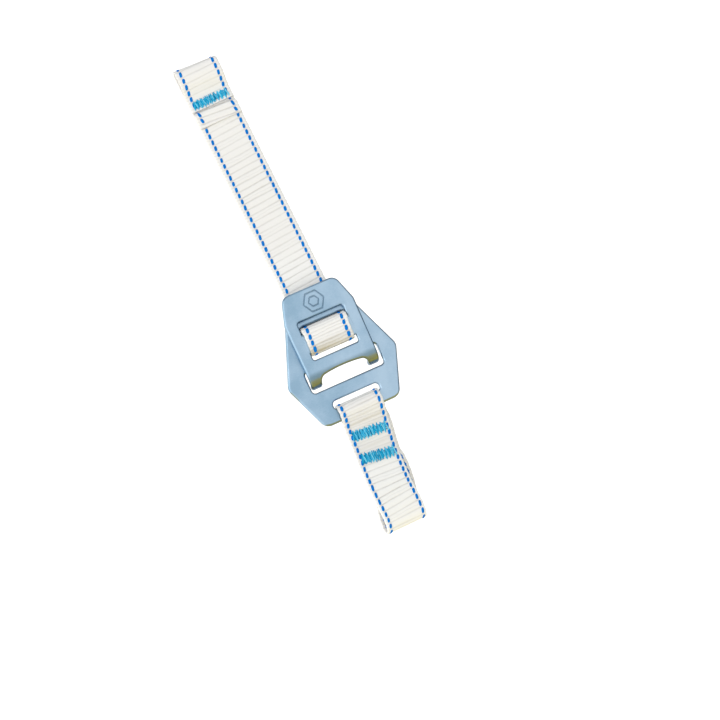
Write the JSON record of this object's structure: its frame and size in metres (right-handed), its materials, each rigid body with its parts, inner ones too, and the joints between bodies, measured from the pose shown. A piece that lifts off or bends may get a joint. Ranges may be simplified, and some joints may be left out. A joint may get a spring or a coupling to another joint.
{
  "type": "webbing lock",
  "caption": "Two-plate metal strap lock: a hooked locking plate tilts on a base plate, a webbing strap threads through both, and a sewn loop hangs below.",
  "frame": {"origin": "centre of the base plate's middle web, on its flat back face", "axes": "+Z out of the front of the plates, +Y along the strap away from the attachment loop, +X to the right seen from the front"},
  "size_m": [0.0637, 0.2742, 0.0115],
  "materials": {
    "anodised_plate": "satin blue-grey anodised",
    "webbing": "ribbed white woven webbing",
    "tracer": "blue tracer yarn woven into the webbing",
    "bar_tack": "cyan bar-tack thread"
  },
  "bodies": {
    "base": {"base_plate": "anodised_plate", "strap_load_leg": "webbing", "strap_tail": "webbing", "tail_bar_tack": "bar_tack", "eye_bar_tack": "bar_tack"},
    "lock": {"locking_plate": "anodised_plate", "strap_wrap": "webbing"},
    "loop": {"attachment_loop": "webbing", "loop_bar_tack_upper": "bar_tack", "loop_bar_tack_lower": "bar_tack"}
  },
  "joints": [
    {"name": "lock_tilt", "type": "hinge", "parent": "base", "child": "lock", "pos_m": [0, 0.0159, 0.00315], "axis": [1, 0, 0], "range_deg": [0, 30]},
    {"name": "loop_swing", "type": "hinge", "parent": "base", "child": "loop", "pos_m": [0, -0.0118, 0.0015], "axis": [1, 0, 0], "range_deg": [-70, 70]}
  ]
}
